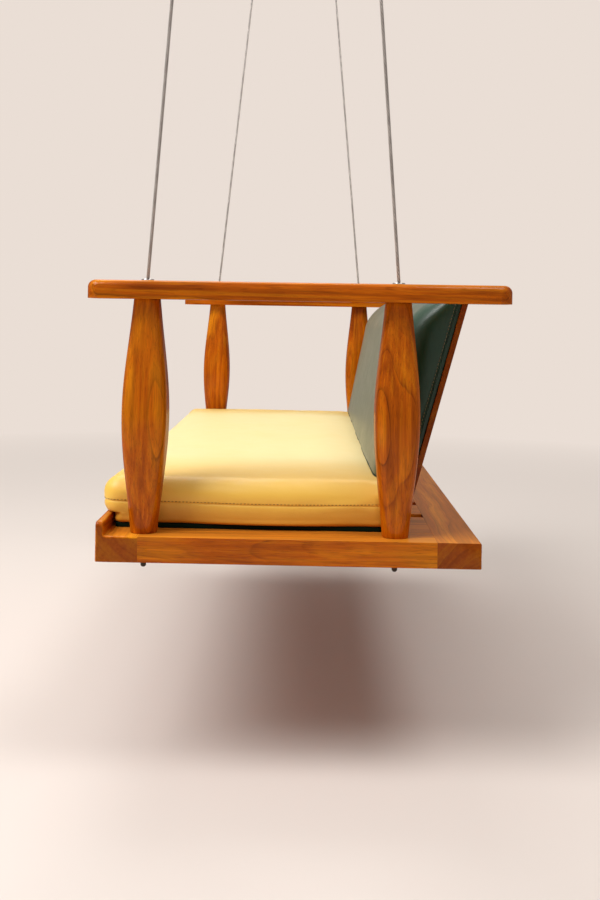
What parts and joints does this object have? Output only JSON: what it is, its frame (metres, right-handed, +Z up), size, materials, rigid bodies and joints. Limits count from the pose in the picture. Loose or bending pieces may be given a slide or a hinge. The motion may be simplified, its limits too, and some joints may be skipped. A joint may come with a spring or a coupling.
{
  "type": "indoor swing seat",
  "caption": "Wooden jhoola swing seat with arm boards, swelling posts, loose seat cushion and leaning padded back, hung on wire ropes from ceiling brackets.",
  "frame": {"origin": "on the ceiling's face, midway between the four rope brackets", "axes": "+X along the seat to its right end as a person facing its front sees it, +Y from the seat's front to its back, +Z up"},
  "size_m": [1.7656, 0.733, 1.6065],
  "materials": {
    "teak": "gloss",
    "yellow_leatherette": "satin",
    "green_leatherette": "satin",
    "wire_rope": "satin",
    "bright_steel": "satin",
    "dark_steel": "satin",
    "ferrule_metal": "satin",
    "bracket_steel": "satin"
  },
  "bodies": {
    "ceiling": {"ceiling_bracket_front_left": "bracket_steel", "ceiling_bracket_front_right": "bracket_steel", "ceiling_bracket_rear_left": "bracket_steel", "ceiling_bracket_rear_right": "bracket_steel", "clevis_pins": "bright_steel", "split_pins": "bright_steel"},
    "front_ropes": {"rope_front_left": "wire_rope", "rope_eye_front_left": "wire_rope", "thimble_front_left": "bright_steel", "ferrule_front_left": "ferrule_metal", "rope_front_right": "wire_rope", "rope_eye_front_right": "wire_rope", "thimble_front_right": "bright_steel", "ferrule_front_right": "ferrule_metal"},
    "seat": {"front_beam": "teak", "back_beam": "teak", "side_rail_left": "teak", "side_rail_right": "teak", "front_cleat": "teak", "back_cleat": "teak", "centre_bearer": "teak", "deck_slat_1": "teak", "deck_slat_2": "teak", "deck_slat_3": "teak", "deck_slat_4": "teak", "deck_slat_5": "teak", "deck_slat_6": "teak", "deck_slat_7": "teak", "deck_slat_8": "teak", "end_slat_left": "teak", "end_slat_right": "teak", "post_front_left": "teak", "post_front_right": "teak", "post_back_left": "teak", "post_back_right": "teak", "armrest_left": "teak", "armrest_right": "teak", "back_panel": "teak", "back_foot_batten": "teak", "hanger_rods": "dark_steel", "rope_collars": "bright_steel", "base_washers": "dark_steel", "base_nuts": "dark_steel", "slat_screws": "dark_steel", "cleat_screws": "dark_steel", "back_dowels": "bright_steel", "seat_board": "green_leatherette", "back_board": "green_leatherette", "seat_cushion": "yellow_leatherette", "back_cushion": "green_leatherette"},
    "rear_ropes": {"rope_rear_left": "wire_rope", "rope_eye_rear_left": "wire_rope", "thimble_rear_left": "bright_steel", "ferrule_rear_left": "ferrule_metal", "rope_rear_right": "wire_rope", "rope_eye_rear_right": "wire_rope", "thimble_rear_right": "bright_steel", "ferrule_rear_right": "ferrule_metal"}
  },
  "joints": [
    {"name": "front_rope_swing", "type": "hinge", "parent": "ceiling", "child": "front_ropes", "pos_m": [0, -0.12572, -0.045], "axis": [1, 0, 0], "range_deg": [-12, 12]},
    {"name": "seat_tip", "type": "hinge", "parent": "front_ropes", "child": "seat", "pos_m": [0, -0.22, -1.102], "axis": [1, 0, 0], "range_deg": [-7, 7]},
    {"name": "rear_rope_swing", "type": "hinge", "parent": "ceiling", "child": "rear_ropes", "pos_m": [0, 0.12572, -0.045], "axis": [1, 0, 0], "range_deg": [-12.5, 12.5]}
  ],
  "couplings": [
    {"joint": "seat_tip", "follows": "front_rope_swing", "ratio": -0.5697},
    {"joint": "rear_rope_swing", "follows": "front_rope_swing", "ratio": 1}
  ]
}
